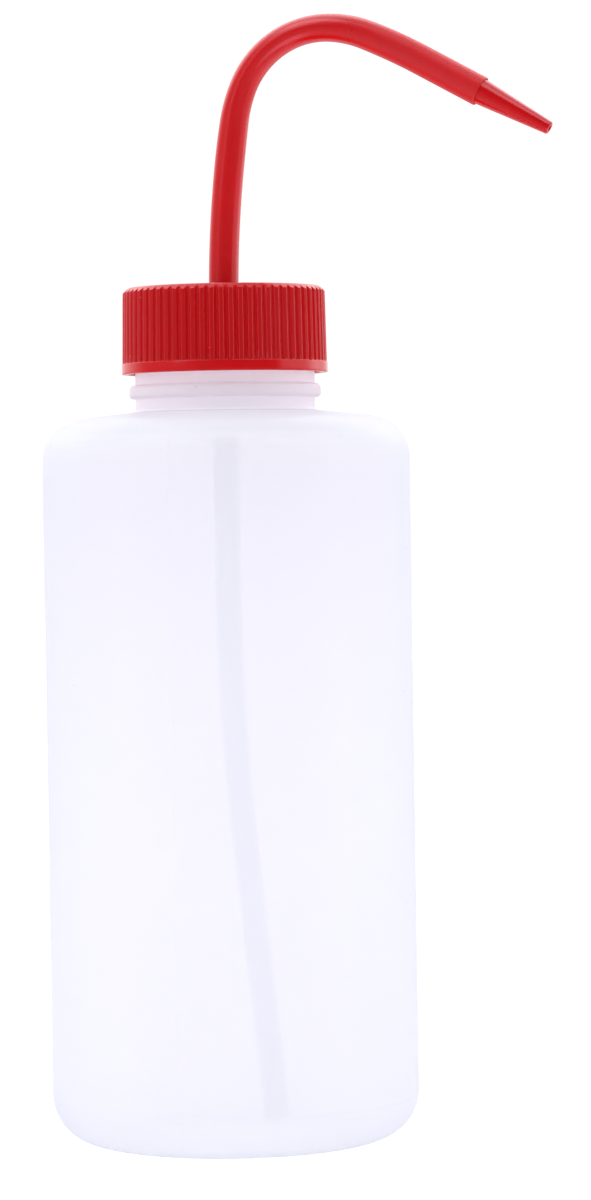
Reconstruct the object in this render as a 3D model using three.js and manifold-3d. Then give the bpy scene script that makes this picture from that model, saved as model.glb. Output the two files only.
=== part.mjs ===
// Laboratory wash bottle, 500 ml: squeeze bottle, screw cap with its liner, bent spout tube with a jet
// nozzle, and a dip tube. Millimetres, +Z up. The origin is the centre of the base, on the plane that the
// bottle stands on, and the spout points along +X.
import * as THREE from "three";
import { mergeVertices } from "three/addons/utils/BufferGeometryUtils.js";
import Module from "manifold-3d";

const wasm = await Module();
wasm.setup();

// ---- Driving dimensions -------------------------------------------------------------------------

const DEGREE = Math.PI / 180;

const BODY = {
  radius: 37.5,
  wall: 1.2,
  floor: 1.6,
  baseCorner: 9.8, // radius of the rounding between base and side
  sideTop: 138.6, // height where the straight side ends
  shoulderCorner: 8.7, // radius of the rounding between side and shoulder
  shoulderSlope: 6.6 * DEGREE,
};

const NECK = {
  radius: 18.3,
  bore: 16.7,
  lip: 170.9, // height of the rim that the liner seals
  lipRounding: 0.4,
  footFillet: 1.2,
  boreFillet: 2,
  beadRadius: 19.5, // the ring under the cap
  beadCentre: 152.55,
  beadWidth: 2.7,
  beadRounding: 0.8,
};

const CAP = {
  bottom: 156.2,
  top: 173.7,
  roof: 1.7,
  bandRadius: 21.0, // the smooth band round the open end
  bandTop: 158.5,
  ribs: 66,
  ribCrest: 20.85, // radius over the ribs at the band
  ribDepth: 0.6,
  draft: 0.25, // how much the ribbed part narrows towards the top
  topRadius: 19.3, // the flat top, inside the chamfer
  chamferHeight: 1.25,
  bore: 19.5, // inside radius round the threads
  seatBore: 19.1, // inside radius round the liner
  seatBottom: 169.9,
  collarRadius: 5.4, // the collar that guides the spout tube
  collarBottom: 164.5,
  collarRounding: 0.5,
  holeRadius: 3.2,
  rimRadius: 3.55, // the small raised rim round the hole
  rimHeight: 0.4,
};

const LINER = { radius: 18.9, hole: 5.7, gap: 0.1 };

// One right-hand start on the neck, and a matching ridge inside the cap, just under it.
const THREAD = {
  pitch: 4.2,
  turns: 1.5,
  neckStart: 161.6,
  capDrop: 1.5, // from the neck ridge's centre down to the cap ridge's centre
  sunk: 0.3, // how far a ridge's root reaches into its wall
  endHeight: 0.15, // share of a ridge's height left at its ends, which puts them inside the wall
  endLength: 0.08, // share of a ridge's length over which it fades
  neck: { height: 0.9, root: 2.2, crest: 1.0 },
  cap: { height: 0.95, root: 1.6, crest: 0.7 },
};

// A run is a centre line in the XZ plane: from a start, heading an angle from +Z towards +X, it follows
// pieces that are straight or bend evenly, and goes on straight after the last of them.
const SPOUT = {
  radius: 3.05,
  flattening: 0.1, // share that the bend loses in its own plane
  spreading: 0.04, // share that it gains across that plane
  bendCentre: 66.5, // distance along the tube
  bendReach: 17.5,
  bore: 2.1,
  socket: 2.7, // inside radius at both ends, where the dip tube and the nozzle sit
  footSocket: 12.6,
  armSocket: 11.6,
  run: {
    x: 0,
    z: 158.2,
    heading: 0,
    pieces: [
      { length: 11.8, turn: 0 }, // through the collar
      { length: 37.2, turn: 8.7 * DEGREE }, // slight lean
      { length: 7.2, turn: 13.8 * DEGREE },
      { length: 22.3, turn: 68.7 * DEGREE }, // main bend
      { length: 9.1, turn: 21.8 * DEGREE },
      { length: 12.6, turn: 6.3 * DEGREE },
      { length: 14.0, turn: 0 }, // holds the nozzle
    ],
  },
};

const NOZZLE = {
  radius: 2.64,
  shank: 11.0, // length inside the spout tube
  length: 16.1, // length outside it
  tipRadius: 1.32,
  tipRounding: 0.35,
  shankBore: 1.6,
  jetBore: 0.55,
  jetLength: 2.5,
};

const DIP_TUBE = {
  radius: 2.6,
  bore: 1.7,
  run: {
    x: 0,
    z: 170.4,
    heading: Math.PI,
    pieces: [
      { length: 55.4, turn: 0 },
      { length: 55.3, turn: -6.1 * DEGREE }, // a slight set towards the spout's side
      { length: 56.1, turn: 0 },
    ],
  },
};

const ROUND_SEGMENTS = 48; // round the bottle and the cap
const COLLAR_SEGMENTS = 32;
const TUBE_SEGMENTS = 20;
const THREAD_STEPS_PER_TURN = 32;
const ARC_SAG = 0.12; // how far a rounded corner's facets may cut inside its arc
const BEND_STEP = 10 * DEGREE;
const LEAST_BEND_STEPS = 4;
const WELD = 1e-4;
const CUT_MARGIN = 1; // how far a cutting solid reaches past the face it cuts through

// ---- Solids -------------------------------------------------------------------------------------

function positionsOnly(geometry) {
  const loose = geometry.index ? geometry.toNonIndexed() : geometry;
  return new THREE.BufferGeometry().setAttribute("position", loose.getAttribute("position"));
}

function solidOf(geometry) {
  const welded = mergeVertices(positionsOnly(geometry), WELD);
  return new wasm.Manifold(
    new wasm.Mesh({
      numProp: 3,
      vertProperties: welded.getAttribute("position").array,
      triVerts: new Uint32Array(welded.index.array),
    }),
  );
}

function geometryOf(solid) {
  const mesh = solid.getMesh();
  const geometry = new THREE.BufferGeometry()
    .setAttribute("position", new THREE.BufferAttribute(mesh.vertProperties, mesh.numProp))
    .setIndex(new THREE.BufferAttribute(mesh.triVerts, 1))
    .toNonIndexed();
  geometry.computeVertexNormals();
  return geometry;
}

// ---- Outlines and sweeps ------------------------------------------------------------------------

// A line through corners of [radius from the axis, height, rounding], with arcs at the rounded ones.
function roundedLine(corners) {
  const points = [];
  corners.forEach(([x, y, rounding = 0], i) => {
    const corner = new THREE.Vector2(x, y);
    if (rounding === 0) {
      points.push(corner);
      return;
    }
    const back = new THREE.Vector2(...corners[i - 1]).sub(corner).normalize();
    const on = new THREE.Vector2(...corners[i + 1]).sub(corner).normalize();
    const half = back.angleTo(on) / 2;
    const centre = back.clone().add(on).setLength(rounding / Math.sin(half)).add(corner);
    const reach = rounding / Math.tan(half);
    const from = back.multiplyScalar(reach).add(corner).sub(centre);
    const to = on.multiplyScalar(reach).add(corner).sub(centre);
    const turn = Math.atan2(from.cross(to), from.dot(to));
    const widestStep = 2 * Math.acos(1 - Math.min(1, ARC_SAG / rounding));
    const steps = Math.ceil(Math.abs(turn) / widestStep);
    for (let k = 0; k <= steps; k++) {
      const spoke = from.clone().rotateAround(new THREE.Vector2(), (turn * k) / steps);
      points.push(spoke.add(centre));
    }
  });
  return points;
}

// Corners that run up the outside and down the inside make a solid of revolution about +Z.
function turned(corners, segments = ROUND_SEGMENTS) {
  return new THREE.LatheGeometry(roundedLine(corners), segments).rotateX(Math.PI / 2);
}

// The same corners, closed into a ring that doesn't touch the axis.
function turnedRing(corners, segments = ROUND_SEGMENTS) {
  return turned([...corners, corners[0]], segments);
}

function mapVertices(geometry, place) {
  const position = geometry.getAttribute("position");
  const vertex = new THREE.Vector3();
  for (let i = 0; i < position.count; i++) {
    vertex.fromBufferAttribute(position, i);
    position.setXYZ(i, ...place(vertex));
  }
  return geometry;
}

// Where a run is after a distance along it. Each bent piece is an arc, so its chord is known exactly.
function runAt(run, distance) {
  let { x, z, heading } = run;
  let left = distance;
  for (const piece of [...run.pieces, { length: Infinity, turn: 0 }]) {
    const step = Math.min(left, piece.length);
    const half = piece.turn === 0 ? 0 : (piece.turn * step) / piece.length / 2;
    const chord = half === 0 ? step : (step * Math.sin(half)) / half;
    x += chord * Math.sin(heading + half);
    z += chord * Math.cos(heading + half);
    heading += 2 * half;
    left -= step;
  }
  return { x, z, heading };
}

function runLength(run) {
  return run.pieces.reduce((sum, piece) => sum + piece.length, 0);
}

// Bends a tube that was turned about +Z from height 0 up, so that its heights become distances along a run.
function bentAlong(geometry, run) {
  return mapVertices(geometry, ({ x, y, z }) => {
    const at = runAt(run, z);
    return [at.x + x * Math.cos(at.heading), y, at.z - x * Math.sin(at.heading)];
  });
}

// The distances along a run where a tube needs a ring of vertices: its ends, and steps through its bends.
function ringsAlong(run) {
  const rings = [0];
  for (const piece of run.pieces) {
    const bendSteps = Math.max(LEAST_BEND_STEPS, Math.ceil(Math.abs(piece.turn) / BEND_STEP));
    const steps = piece.turn === 0 ? 1 : bendSteps;
    const from = rings.at(-1);
    for (let k = 1; k <= steps; k++) rings.push(from + (piece.length * k) / steps);
  }
  return rings;
}

// A screw thread's ridge on a wall: outward stands out of a neck, otherwise into a cap's bore.
function threadRidge({ height, root, crest }, wallRadius, start, outward) {
  const side = outward ? 1 : -1;
  const { pitch, turns, sunk } = THREAD;
  const section = new THREE.Shape([
    new THREE.Vector2(0, -root / 2),
    new THREE.Vector2(sunk + height, -crest / 2),
    new THREE.Vector2(sunk + height, crest / 2),
    new THREE.Vector2(0, root / 2),
  ]);
  const bar = new THREE.ExtrudeGeometry(section, {
    depth: 1,
    steps: turns * THREAD_STEPS_PER_TURN,
    bevelEnabled: false,
  });
  return mapVertices(bar, ({ x, y, z }) => {
    const fade = Math.min(1, THREAD.endHeight + Math.min(z, 1 - z) / THREAD.endLength);
    const radius = wallRadius + side * (x * fade - sunk);
    const angle = 2 * Math.PI * turns * z;
    return [
      radius * Math.cos(angle),
      radius * Math.sin(angle),
      start + pitch * turns * z - side * y,
    ];
  });
}

// ---- Parts --------------------------------------------------------------------------------------

function shoulderHeight(radius) {
  const cornerReach = BODY.shoulderCorner * Math.tan(Math.PI / 4 - BODY.shoulderSlope / 2);
  return BODY.sideTop + cornerReach + (BODY.radius - radius) * Math.tan(BODY.shoulderSlope);
}

function bottle() {
  const inside = BODY.radius - BODY.wall;
  const skin = BODY.wall / Math.cos(BODY.shoulderSlope);
  const beadBottom = NECK.beadCentre - NECK.beadWidth / 2;
  const beadTop = NECK.beadCentre + NECK.beadWidth / 2;
  const shell = turned([
    [0, 0],
    [BODY.radius, 0, BODY.baseCorner],
    [BODY.radius, shoulderHeight(BODY.radius), BODY.shoulderCorner],
    [NECK.radius, shoulderHeight(NECK.radius), NECK.footFillet],
    [NECK.radius, beadBottom],
    [NECK.beadRadius, beadBottom, NECK.beadRounding],
    [NECK.beadRadius, beadTop, NECK.beadRounding],
    [NECK.radius, beadTop],
    [NECK.radius, NECK.lip, NECK.lipRounding],
    [NECK.bore, NECK.lip],
    [NECK.bore, shoulderHeight(NECK.bore) - skin, NECK.boreFillet],
    [inside, shoulderHeight(inside) - skin, BODY.shoulderCorner - BODY.wall],
    [inside, BODY.floor, BODY.baseCorner - BODY.wall],
    [0, BODY.floor],
  ]);
  const ridge = threadRidge(THREAD.neck, NECK.radius, THREAD.neckStart, true);
  return geometryOf(solidOf(shell).add(solidOf(ridge)));
}

// A rod with pointed ribs all round, whose outline points lie on crests and in valleys by turns. It narrows a
// little towards the top.
function ribbedRod(bottom, top) {
  const outline = Array.from({ length: 2 * CAP.ribs }, (_, i) => {
    const angle = (Math.PI * i) / CAP.ribs;
    const radius = i % 2 === 1 ? CAP.ribCrest : CAP.ribCrest - CAP.ribDepth;
    return new THREE.Vector2(radius * Math.cos(angle), radius * Math.sin(angle));
  });
  const rod = new THREE.ExtrudeGeometry(new THREE.Shape(outline), {
    depth: top - bottom,
    bevelEnabled: false,
  });
  return mapVertices(rod, ({ x, y, z }) => {
    const narrowing = 1 - (CAP.draft / CAP.ribCrest) * (z / (top - bottom));
    return [x * narrowing, y * narrowing, bottom + z];
  });
}

function screwCap() {
  const ledge = CAP.bandRadius - CAP.bore;
  const chamferRadius = CAP.ribCrest - CAP.draft;
  const roofUnderside = CAP.top - CAP.roof;
  const chamferFrame = turned(
    [
      [0, CAP.bottom - CUT_MARGIN],
      [CAP.bandRadius + CUT_MARGIN, CAP.bottom - CUT_MARGIN],
      [CAP.bandRadius + CUT_MARGIN, CAP.top - CAP.chamferHeight],
      [chamferRadius, CAP.top - CAP.chamferHeight],
      [CAP.topRadius, CAP.top],
      [0, CAP.top],
    ],
    CAP.ribs,
  );
  const band = turned(
    [
      [0, CAP.bottom],
      [CAP.bandRadius, CAP.bottom],
      [CAP.bandRadius, CAP.bandTop],
      [CAP.bore, CAP.bandTop + ledge],
      [0, CAP.bandTop + ledge],
    ],
    CAP.ribs,
  );
  const cavity = turned([
    [0, CAP.bottom - CUT_MARGIN],
    [CAP.bore, CAP.bottom - CUT_MARGIN],
    [CAP.bore, CAP.seatBottom - (CAP.bore - CAP.seatBore)],
    [CAP.seatBore, CAP.seatBottom],
    [CAP.seatBore, roofUnderside],
    [0, roofUnderside],
  ]);
  const collar = turned(
    [
      [0, CAP.collarBottom],
      [CAP.collarRadius, CAP.collarBottom, CAP.collarRounding],
      [CAP.collarRadius, roofUnderside + CAP.roof / 2],
      [CAP.rimRadius, roofUnderside + CAP.roof / 2],
      [CAP.rimRadius, CAP.top + CAP.rimHeight],
      [0, CAP.top + CAP.rimHeight],
    ],
    COLLAR_SEGMENTS,
  );
  const hole = turned(
    [
      [0, CAP.collarBottom - CUT_MARGIN],
      [CAP.holeRadius, CAP.collarBottom - CUT_MARGIN],
      [CAP.holeRadius, CAP.top + CUT_MARGIN],
      [0, CAP.top + CUT_MARGIN],
    ],
    COLLAR_SEGMENTS,
  );
  const ridge = threadRidge(THREAD.cap, CAP.bore, THREAD.neckStart - THREAD.capDrop, false);
  const solid = solidOf(ribbedRod(CAP.bandTop, CAP.top))
    .intersect(solidOf(chamferFrame))
    .add(solidOf(band))
    .subtract(solidOf(cavity))
    .add(solidOf(ridge))
    .add(solidOf(collar))
    .subtract(solidOf(hole));
  return geometryOf(solid);
}

function capLiner() {
  const top = CAP.top - CAP.roof - LINER.gap;
  const bottom = NECK.lip + LINER.gap;
  return turnedRing([
    [LINER.hole, bottom],
    [LINER.radius, bottom],
    [LINER.radius, top],
    [LINER.hole, top],
  ]);
}

// How much of the bend's flattening the spout tube has at a distance along it.
function bendShare(distance) {
  return Math.exp(-(((distance - SPOUT.bendCentre) / SPOUT.bendReach) ** 4));
}

function spoutTube() {
  const length = runLength(SPOUT.run);
  const rings = ringsAlong(SPOUT.run);
  const step = SPOUT.socket - SPOUT.bore;
  const boreFrom = SPOUT.footSocket + step;
  const boreTo = length - SPOUT.armSocket - step;
  const boreRings = rings.filter((s) => s > boreFrom && s < boreTo);
  const straight = turnedRing(
    [
      ...rings.map((s) => [SPOUT.radius, s]),
      [SPOUT.socket, length],
      [SPOUT.socket, length - SPOUT.armSocket],
      ...[boreFrom, ...boreRings, boreTo].map((s) => [SPOUT.bore, s]).reverse(),
      [SPOUT.socket, SPOUT.footSocket],
      [SPOUT.socket, 0],
    ],
    TUBE_SEGMENTS,
  );
  const flattened = mapVertices(straight, ({ x, y, z }) => {
    const share = bendShare(z);
    return [x * (1 - SPOUT.flattening * share), y * (1 + SPOUT.spreading * share), z];
  });
  return bentAlong(flattened, SPOUT.run);
}

function dipTube() {
  const rings = ringsAlong(DIP_TUBE.run);
  const outside = rings.map((s) => [DIP_TUBE.radius, s]);
  const inside = rings.map((s) => [DIP_TUBE.bore, s]).reverse();
  return bentAlong(turnedRing([...outside, ...inside], TUBE_SEGMENTS), DIP_TUBE.run);
}

// Turned about its own axis, with the spout tube's rim at height 0.
function jetNozzle() {
  return turnedRing(
    [
      [NOZZLE.shankBore, -NOZZLE.shank],
      [NOZZLE.radius, -NOZZLE.shank],
      [NOZZLE.radius, 0],
      [NOZZLE.tipRadius, NOZZLE.length, NOZZLE.tipRounding],
      [NOZZLE.jetBore, NOZZLE.length],
      [NOZZLE.jetBore, NOZZLE.length - NOZZLE.jetLength],
    ],
    TUBE_SEGMENTS,
  );
}

// ---- Assembly -----------------------------------------------------------------------------------

function plastic(color, roughness) {
  return new THREE.MeshStandardMaterial({ color, roughness, metalness: 0 });
}

function part(name, geometry, material) {
  const mesh = new THREE.Mesh(geometry, material);
  mesh.name = name;
  return mesh;
}

const NATURAL = plastic(0xf1f1f8, 0.45);
const RED = plastic(0xc2181f, 0.5);
const GLOSSY_RED = plastic(0xb9151d, 0.3);
const WHITE_FOAM = plastic(0xf4f4f0, 0.7);

const nozzle = part("jet_nozzle", jetNozzle(), GLOSSY_RED);
const armEnd = runAt(SPOUT.run, runLength(SPOUT.run));
nozzle.position.set(armEnd.x, 0, armEnd.z);
nozzle.rotation.y = armEnd.heading;

const spout = new THREE.Group();
spout.add(part("spout_tube", spoutTube(), RED));
spout.add(part("dip_tube", dipTube(), NATURAL));
spout.add(nozzle);

const closure = new THREE.Group();
closure.add(part("screw_cap", screwCap(), RED));
closure.add(part("cap_liner", capLiner(), WHITE_FOAM));
closure.add(spout);

const washBottle = new THREE.Group();
washBottle.add(part("bottle", bottle(), NATURAL));
washBottle.add(closure);

export default washBottle;
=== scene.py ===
import math

import bpy
import numpy as np
from mathutils import Matrix, Vector, noise


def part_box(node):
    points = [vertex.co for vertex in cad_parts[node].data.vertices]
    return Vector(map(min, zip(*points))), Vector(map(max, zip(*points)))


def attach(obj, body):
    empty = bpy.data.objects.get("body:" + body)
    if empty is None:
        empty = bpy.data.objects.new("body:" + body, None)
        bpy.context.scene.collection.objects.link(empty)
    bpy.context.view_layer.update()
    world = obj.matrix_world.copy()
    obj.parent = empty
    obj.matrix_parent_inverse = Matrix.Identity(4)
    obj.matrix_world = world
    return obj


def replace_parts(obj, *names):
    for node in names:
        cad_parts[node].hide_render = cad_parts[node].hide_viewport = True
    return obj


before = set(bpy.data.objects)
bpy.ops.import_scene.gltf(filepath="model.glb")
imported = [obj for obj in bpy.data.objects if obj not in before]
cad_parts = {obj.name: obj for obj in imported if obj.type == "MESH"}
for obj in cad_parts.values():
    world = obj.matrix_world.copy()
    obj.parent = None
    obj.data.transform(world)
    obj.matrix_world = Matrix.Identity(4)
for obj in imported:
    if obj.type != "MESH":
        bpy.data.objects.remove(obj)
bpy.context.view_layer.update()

# ---- Sizes, in millimetres ----------------------------------------------------------------------

MM = 0.001
DEGREE = math.pi / 180
TURN = 2 * math.pi


def box_in_mm(node):
    low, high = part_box(node)
    return low / MM, high / MM


BOTTLE_HIGH = box_in_mm("bottle")[1]
CAP_LOW, CAP_HIGH = box_in_mm("screw_cap")
LINER_LOW, LINER_HIGH = box_in_mm("cap_liner")
SPOUT_LOW = box_in_mm("spout_tube")[0]
DIP_HIGH = box_in_mm("dip_tube")[1]

BODY = {
    "radius": BOTTLE_HIGH.y,
    "wall": 1.2,
    "floor": 1.6,
    "base_corner": 9.8,
    "side_top": 138.6,
    "shoulder_corner": 8.7,
    "shoulder_slope": 6.6 * DEGREE,
}
SEAM_RELIEF = 0.04  # how far the mould's parting line stands out
SEAM_WIDTH = 0.5
WAVINESS = 0.05  # how far the blown wall wanders in from a true round
WAVE_LENGTH = 26.0
MOULD_LINES = (8.7, 140.3)  # heights of the lines between the mould's inserts and its halves
THICK_ABOVE = 142.8  # height where the shoulder starts to bend in and its wall hides what is behind it
MOULD_LINE_DEPTH = 0.06
MOULD_LINE_WIDTH = 0.7
PUSH_UP = {"radius": 25.0, "edge": 3.0, "height": 0.7}
PINCH_OFF = {"length": 42.0, "height": 0.35, "width": 1.0}

LIP_CHAMFER = 0.4
NECK = {
    "radius": 18.3,
    "bore": 16.7,
    "lip": BOTTLE_HIGH.z,
    "foot_fillet": 0.6,
    "bead_radius": 19.5,
    "bead_centre": 152.55,
    "bead_width": 2.7,
    "bead_rounding": 0.8,
    "bead_fillet": 0.25,
    "lip_rounding": 0.4,
    "bore_fillet": 2.0,
}

MOUTH_CHAMFER = 0.3
RIM_HEIGHT = 0.4  # of the small raised rim round the hole for the spout tube
CAP = {
    "bottom": CAP_LOW.z,
    "top": CAP_HIGH.z - RIM_HEIGHT,
    "roof": 1.7,
    "band_radius": CAP_HIGH.y,
    "band_top": 158.3,
    "ledge_slope": 0.5,
    "ribs": 66,
    "rib_crest": 20.85,
    "rib_depth": 0.5,
    "draft": 0.25,
    "top_radius": 19.7,
    "chamfer_height": 0.95,
    "bore": 19.5,
    "seat_bore": 19.1,
    "seat_bottom": 169.9,
    "collar_radius": 5.4,
    "collar_bottom": 164.5,
    "hole_radius": 3.2,
    "rim_radius": 3.55,
    "rim_top": CAP_HIGH.z,
}
# Half a rib, from a groove's middle to the flat land beside it: shares of the pitch and of the depth.
HALF_RIB = ((0.08, 0.05), (0.14, 0.2), (0.19, 0.45), (0.24, 0.75), (0.28, 0.92), (0.33, 1.0))
RIB_SECTION = ((0.0, 0.0), *HALF_RIB, *((1 - share, depth) for share, depth in reversed(HALF_RIB)))
FACE_ROWS = (0.1, 0.3, 0.5, 0.7, 0.9)  # shares of the way up from the ledge to the chamfer
CHAMFER_ROWS = (0.15, 0.4, 0.7, 0.92)  # shares of the way up the chamfer

THREAD = {
    "pitch": 4.2,
    "turns": 1.5,
    "neck_start": 161.6,
    "cap_drop": 1.5,  # from the neck ridge's centre down to the cap ridge's centre
    "end_height": 0.15,  # share of a ridge's height that is left at its ends
    "end_length": 0.08,  # share of a ridge's length over which it fades
}
NECK_THREAD = {"height": 0.9, "root": 2.2, "crest": 1.0}
CAP_THREAD = {"height": 0.95, "root": 1.6, "crest": 0.7}

SPOUT = {
    "radius": 3.05,
    "flattening": 0.1,  # share that the bend loses in its own plane
    "spreading": 0.04,  # share that it gains across that plane
    "bend_centre": 66.5,  # distance along the tube
    "bend_reach": 17.5,
    "bore": 2.1,
    "socket": 2.7,
    "foot_socket": 12.6,
    "arm_socket": 11.6,
}
# A run is a centre line in the XZ plane. It starts with a heading from +Z towards +X, follows pieces of
# (length, turn), and goes straight on after the last of them.
SPOUT_RUN = {
    "x": 0.0,
    "z": SPOUT_LOW.z,
    "heading": 0.0,
    "pieces": (
        (11.8, 0.0),
        (37.2, 8.7 * DEGREE),
        (7.2, 13.8 * DEGREE),
        (22.3, 68.7 * DEGREE),
        (9.1, 21.8 * DEGREE),
        (12.6, 6.3 * DEGREE),
        (14.0, 0.0),
    ),
}
DIP = {"radius": 2.6, "bore": 1.7}
DIP_RUN = {
    "x": 0.0,
    "z": DIP_HIGH.z,
    "heading": math.pi,
    "pieces": ((55.4, 0.0), (55.3, -6.1 * DEGREE), (56.1, 0.0)),
}
NOZZLE = {
    "radius": 2.64,
    "shank": 11.0,
    "length": 16.05,
    "tip_radius": 1.32,
    "tip_rounding": 0.35,
    "shank_bore": 1.6,
    "jet_bore": 0.55,
    "jet_length": 2.5,
}
LINER = {"radius": 18.9, "hole": 5.7}

# ---- Meshing ------------------------------------------------------------------------------------

LEAST_ARC_STEPS = 5
SHARP_ANGLE = 32 * DEGREE
BOTTLE_COLUMNS = 224
LINER_COLUMNS = 160
SPOUT_COLUMNS = 72
DIP_COLUMNS = 64


def unit(vector):
    return vector / np.linalg.norm(vector)


def corner_arc(before, corner, after, rounding, longest):
    """Points of the arc that rounds a corner of an outline."""
    back, on = unit(before - corner), unit(after - corner)
    half = math.acos(float(back @ on)) / 2
    centre = corner + unit(back + on) * rounding / math.sin(half)
    reach = rounding / math.tan(half)
    start = corner + back * reach - centre
    end = corner + on * reach - centre
    turn = math.atan2(start[0] * end[1] - start[1] * end[0], float(start @ end))
    steps = max(LEAST_ARC_STEPS, math.ceil(abs(turn) * rounding / longest))
    angles = turn * np.arange(steps + 1) / steps
    across = np.array((-start[1], start[0]))
    return [centre + start * math.cos(a) + across * math.sin(a) for a in angles]


def outline(corners, arc_step=0.4, straight_step=2.5):
    """Points along corners of (radius, height, rounding), as an array of radius and height."""
    places = [np.array(corner[:2], float) for corner in corners]
    points = []
    for i, corner in enumerate(corners):
        if len(corner) == 2:
            points.append(places[i])
        else:
            points += corner_arc(places[i - 1], places[i], places[i + 1], corner[2], arc_step)
    filled = [points[0]]
    for point in points[1:]:
        gap = np.linalg.norm(point - filled[-1])
        if gap < 1e-6:
            continue
        start, parts = filled[-1], math.ceil(gap / straight_step - 1e-6)
        filled += [start + (point - start) * k / parts for k in range(1, parts + 1)]
    return np.array(filled)


def loop_outline(corners, **steps):
    """An outline that comes back to its first corner, which isn't rounded."""
    return outline([*corners, corners[0]], **steps)[:-1]


def polar_grid(radii, heights, angles):
    """Vertices in rows round the Z axis, from radii and heights that have a row per ring."""
    radii, heights = np.broadcast_arrays(radii, heights)
    return np.stack([radii * np.cos(angles), radii * np.sin(angles), heights + 0 * angles], axis=2)


def turned_grid(points, angles):
    return polar_grid(points[:, :1] + 0 * angles, points[:, 1:] + 0 * angles, angles)


def round_angles(columns):
    return TURN * np.arange(columns) / columns


def grid_mesh(grid, closed):
    """The points and faces of rows of vertices that each go round once.

    A closed grid's last row joins its first. In an open one the first and the last row are a point each,
    and the faces round those two points come last.
    """
    rows, columns = grid.shape[:2]
    numbers = np.arange(rows * columns).reshape(rows, columns)
    if not closed:
        numbers = numbers[1:-1] - columns + 1
    lower, upper = (numbers, np.roll(numbers, -1, axis=0)) if closed else (numbers[:-1], numbers[1:])
    lower_on, upper_on = np.roll(lower, -1, axis=1), np.roll(upper, -1, axis=1)
    faces = np.stack([lower, lower_on, upper_on, upper], axis=2).reshape(-1, 4).tolist()
    if closed:
        return grid.reshape(-1, 3), faces
    points = np.concatenate([grid[0, :1], grid[1:-1].reshape(-1, 3), grid[-1, :1]])
    last = len(points) - 1
    following = np.roll(numbers, -1, axis=1)
    faces += [[0, b, a] for a, b in zip(numbers[0], following[0])]
    faces += [[last, a, b] for a, b in zip(numbers[-1], following[-1])]
    return points, faces


def line_inside(mesh, columns, lining_row):
    """Gives an open grid's faces the second material from a row on, but not those round its first point."""
    first_face = (lining_row - 1) * columns
    for polygon in mesh.polygons[first_face:]:
        polygon.material_index = 1
    for polygon in mesh.polygons[-2 * columns : -columns]:
        polygon.material_index = 0


def mesh_piece(name, grid, body, materials, closed=True, lining_row=None):
    """A smooth piece that rides on a body, made of rows of vertices in millimetres."""
    points, faces = grid_mesh(grid, closed)
    mesh = bpy.data.meshes.new(name)
    mesh.from_pydata((points * MM).tolist(), [], faces)
    mesh.validate()
    mesh.shade_smooth()
    mesh.set_sharp_from_angle(angle=SHARP_ANGLE)
    for material in materials:
        mesh.materials.append(material)
    if lining_row is not None:
        line_inside(mesh, grid.shape[1], lining_row)
    piece = bpy.data.objects.new(name, mesh)
    bpy.context.scene.collection.objects.link(piece)
    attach(piece, body)
    return piece


def swell(distance, width):
    """1 at no distance, falling smoothly to 0 at half a width."""
    share = np.clip(1 - np.abs(distance) / (width / 2), 0, 1)
    return share * share * (3 - 2 * share)


def run_at(run, distance):
    """Where a run's centre line is after a distance along it: x, z and heading from +Z towards +X."""
    x, z, heading = run["x"], run["z"], run["heading"]
    left = distance
    for length, turn in (*run["pieces"], (math.inf, 0.0)):
        step = min(left, length)
        half = turn * step / length / 2 if turn else 0.0
        chord = step * math.sin(half) / half if half else step
        x += chord * math.sin(heading + half)
        z += chord * math.cos(heading + half)
        heading += 2 * half
        left -= step
    return x, z, heading


def run_length(run):
    return sum(length for length, _ in run["pieces"])


def bent_along(grid, run):
    """Bends a tube that stands on the Z axis, so that its heights become distances along a run."""
    places = np.array([run_at(run, distance) for distance in grid[:, 0, 2]])
    x, z, heading = (column[:, None] for column in places.T)
    across = grid[:, :, 0]
    return np.stack([x + across * np.cos(heading), grid[:, :, 1], z - across * np.sin(heading)], axis=2)


def thread_relief(angles, heights, thread, start):
    """How far a screw thread's ridge stands off its wall, at each angle and height."""
    relief = np.zeros(np.broadcast(angles, heights).shape)
    flank = (thread["root"] - thread["crest"]) / 2
    for lap in range(math.ceil(THREAD["turns"])):
        share = (angles / TURN + lap) / THREAD["turns"]
        centre = start + THREAD["pitch"] * THREAD["turns"] * share
        section = np.clip((thread["root"] / 2 - np.abs(heights - centre)) / flank, 0, 1)
        end = np.minimum(share, 1 - share)
        fade = np.clip(THREAD["end_height"] + end / THREAD["end_length"], 0, 1) * (end >= 0)
        rounded = section * section * (3 - 2 * section)
        relief = np.maximum(relief, thread["height"] * fade * rounded)
    return relief


# ---- Bottle -------------------------------------------------------------------------------------


def shoulder_height(radius):
    corner_reach = BODY["shoulder_corner"] * math.tan(math.pi / 4 - BODY["shoulder_slope"] / 2)
    slope = math.tan(BODY["shoulder_slope"])
    return BODY["side_top"] + corner_reach + (BODY["radius"] - radius) * slope


def bottle_angles():
    """Even columns, with a few more at the two parting lines so that their relief is clean."""
    one_side = np.array((0.2, 0.38, 0.55, 0.8, 1.2)) * DEGREE
    near_seam = np.concatenate([-one_side, one_side])
    seams = np.concatenate([near_seam + TURN / 4, near_seam + 3 * TURN / 4])
    return np.sort(np.concatenate([round_angles(BOTTLE_COLUMNS), seams]))


def wall_waves(radii, heights, angles):
    """A share from 0 to 1 that wanders slowly over the wall."""
    waves = np.empty(radii.shape)
    for (i, j), radius in np.ndenumerate(radii):
        place = Vector((radius * math.cos(angles[j]), radius * math.sin(angles[j]), heights[i, j]))
        waves[i, j] = noise.noise(place / WAVE_LENGTH)
    return np.clip(0.5 + 0.6 * waves, 0, 1)


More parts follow.
